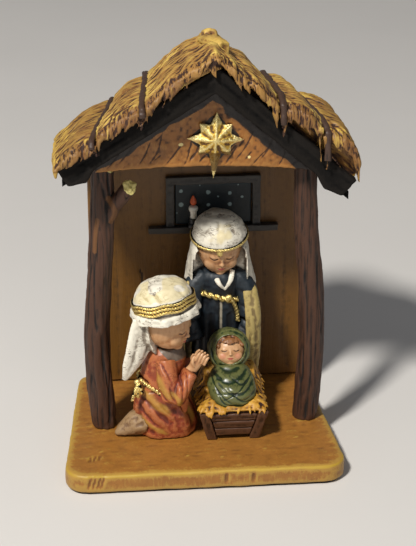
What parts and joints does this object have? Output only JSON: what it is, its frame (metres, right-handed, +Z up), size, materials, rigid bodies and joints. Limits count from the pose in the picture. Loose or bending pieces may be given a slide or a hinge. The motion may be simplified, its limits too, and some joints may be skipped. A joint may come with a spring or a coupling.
{
  "type": "nativity scene",
  "caption": "Tabletop nativity scene: a thatched stable on a plinth shelters a standing figure, a kneeling figure and an infant in a manger",
  "frame": {"origin": "centre of the flat underside of the felt pad, on the table", "axes": "+Z up, -Y towards the open front of the stable, +X to the right as seen from the front"},
  "size_m": [0.1176, 0.087, 0.1771],
  "materials": {
    "felt": "dark brown felt",
    "ochre": "ochre paint on resin with yellow-green dry-brushed edges",
    "wall": "olive-brown paint with dark vertical grain",
    "bark": "dark brown bark paint with orange and yellow streaks",
    "dark_board": "near-black paint with a thin lighter lower edge",
    "thatch": "straw-yellow paint with brown and mauve shadows",
    "panel": "orange-brown paint with diagonal plank grooves",
    "gold": "bright gold leaf paint with dark recesses",
    "frame": "dark grey-brown paint",
    "night": "blue-green night sky with pale dots",
    "wax": "off-white paint",
    "flame": "red paint",
    "manger_wood": "dark brown paint with wood grain",
    "straw": "golden yellow straw paint",
    "green": "olive-green gloss paint with dark folds",
    "skin": "warm skin tone with pink cheeks",
    "hair": "brown paint",
    "blue": "blue-black paint with grey-blue highlights",
    "cream": "cream-yellow paint",
    "white": "off-white paint with grey and cream dry-brushing",
    "coral": "coral-orange paint with yellow dry-brushing",
    "beige": "beige paint"
  },
  "bodies": {
    "root": {"felt_pad": "felt", "base_plinth": "ochre", "back_wall": "wall", "post_left": "bark", "post_right": "bark", "barge_board_left": "dark_board", "roof_deck_left": "dark_board", "thatch_left_lower": "thatch", "thatch_left_middle": "thatch", "thatch_left_upper": "thatch", "tie_left_upper": "bark", "tie_left_lower": "bark", "barge_board_right": "dark_board", "roof_deck_right": "dark_board", "thatch_right_lower": "thatch", "thatch_right_middle": "thatch", "thatch_right_upper": "thatch", "tie_right_upper": "bark", "tie_right_lower": "bark", "ridge_straw": "thatch", "gable_panel": "panel", "star": "gold", "window_frame": "frame", "night_pane": "night", "candle": "wax", "candle_flame": "flame", "manger_trough": "manger_wood", "manger_board_1": "manger_wood", "manger_board_2": "manger_wood", "manger_board_3": "manger_wood", "manger_leg_front_left": "manger_wood", "manger_leg_front_right": "manger_wood", "manger_leg_back_left": "manger_wood", "manger_leg_back_right": "manger_wood", "manger_straw": "straw", "infant_swaddle": "green", "infant_hood": "green", "infant_head": "skin", "infant_hair": "hair", "standing_robe": "blue", "standing_sleeve_left": "blue", "standing_sleeve_right": "blue", "standing_mantle": "cream", "standing_collar": "white", "standing_belt": "gold", "standing_head": "skin", "standing_headcloth": "white", "standing_circlet": "gold", "kneeling_robe": "coral", "kneeling_sleeve": "coral", "kneeling_hands": "skin", "kneeling_train": "beige", "kneeling_sash": "gold", "kneeling_head": "skin", "kneeling_headcloth": "white", "kneeling_headcloth_tail": "white", "kneeling_headband": "gold"}
  },
  "joints": []
}
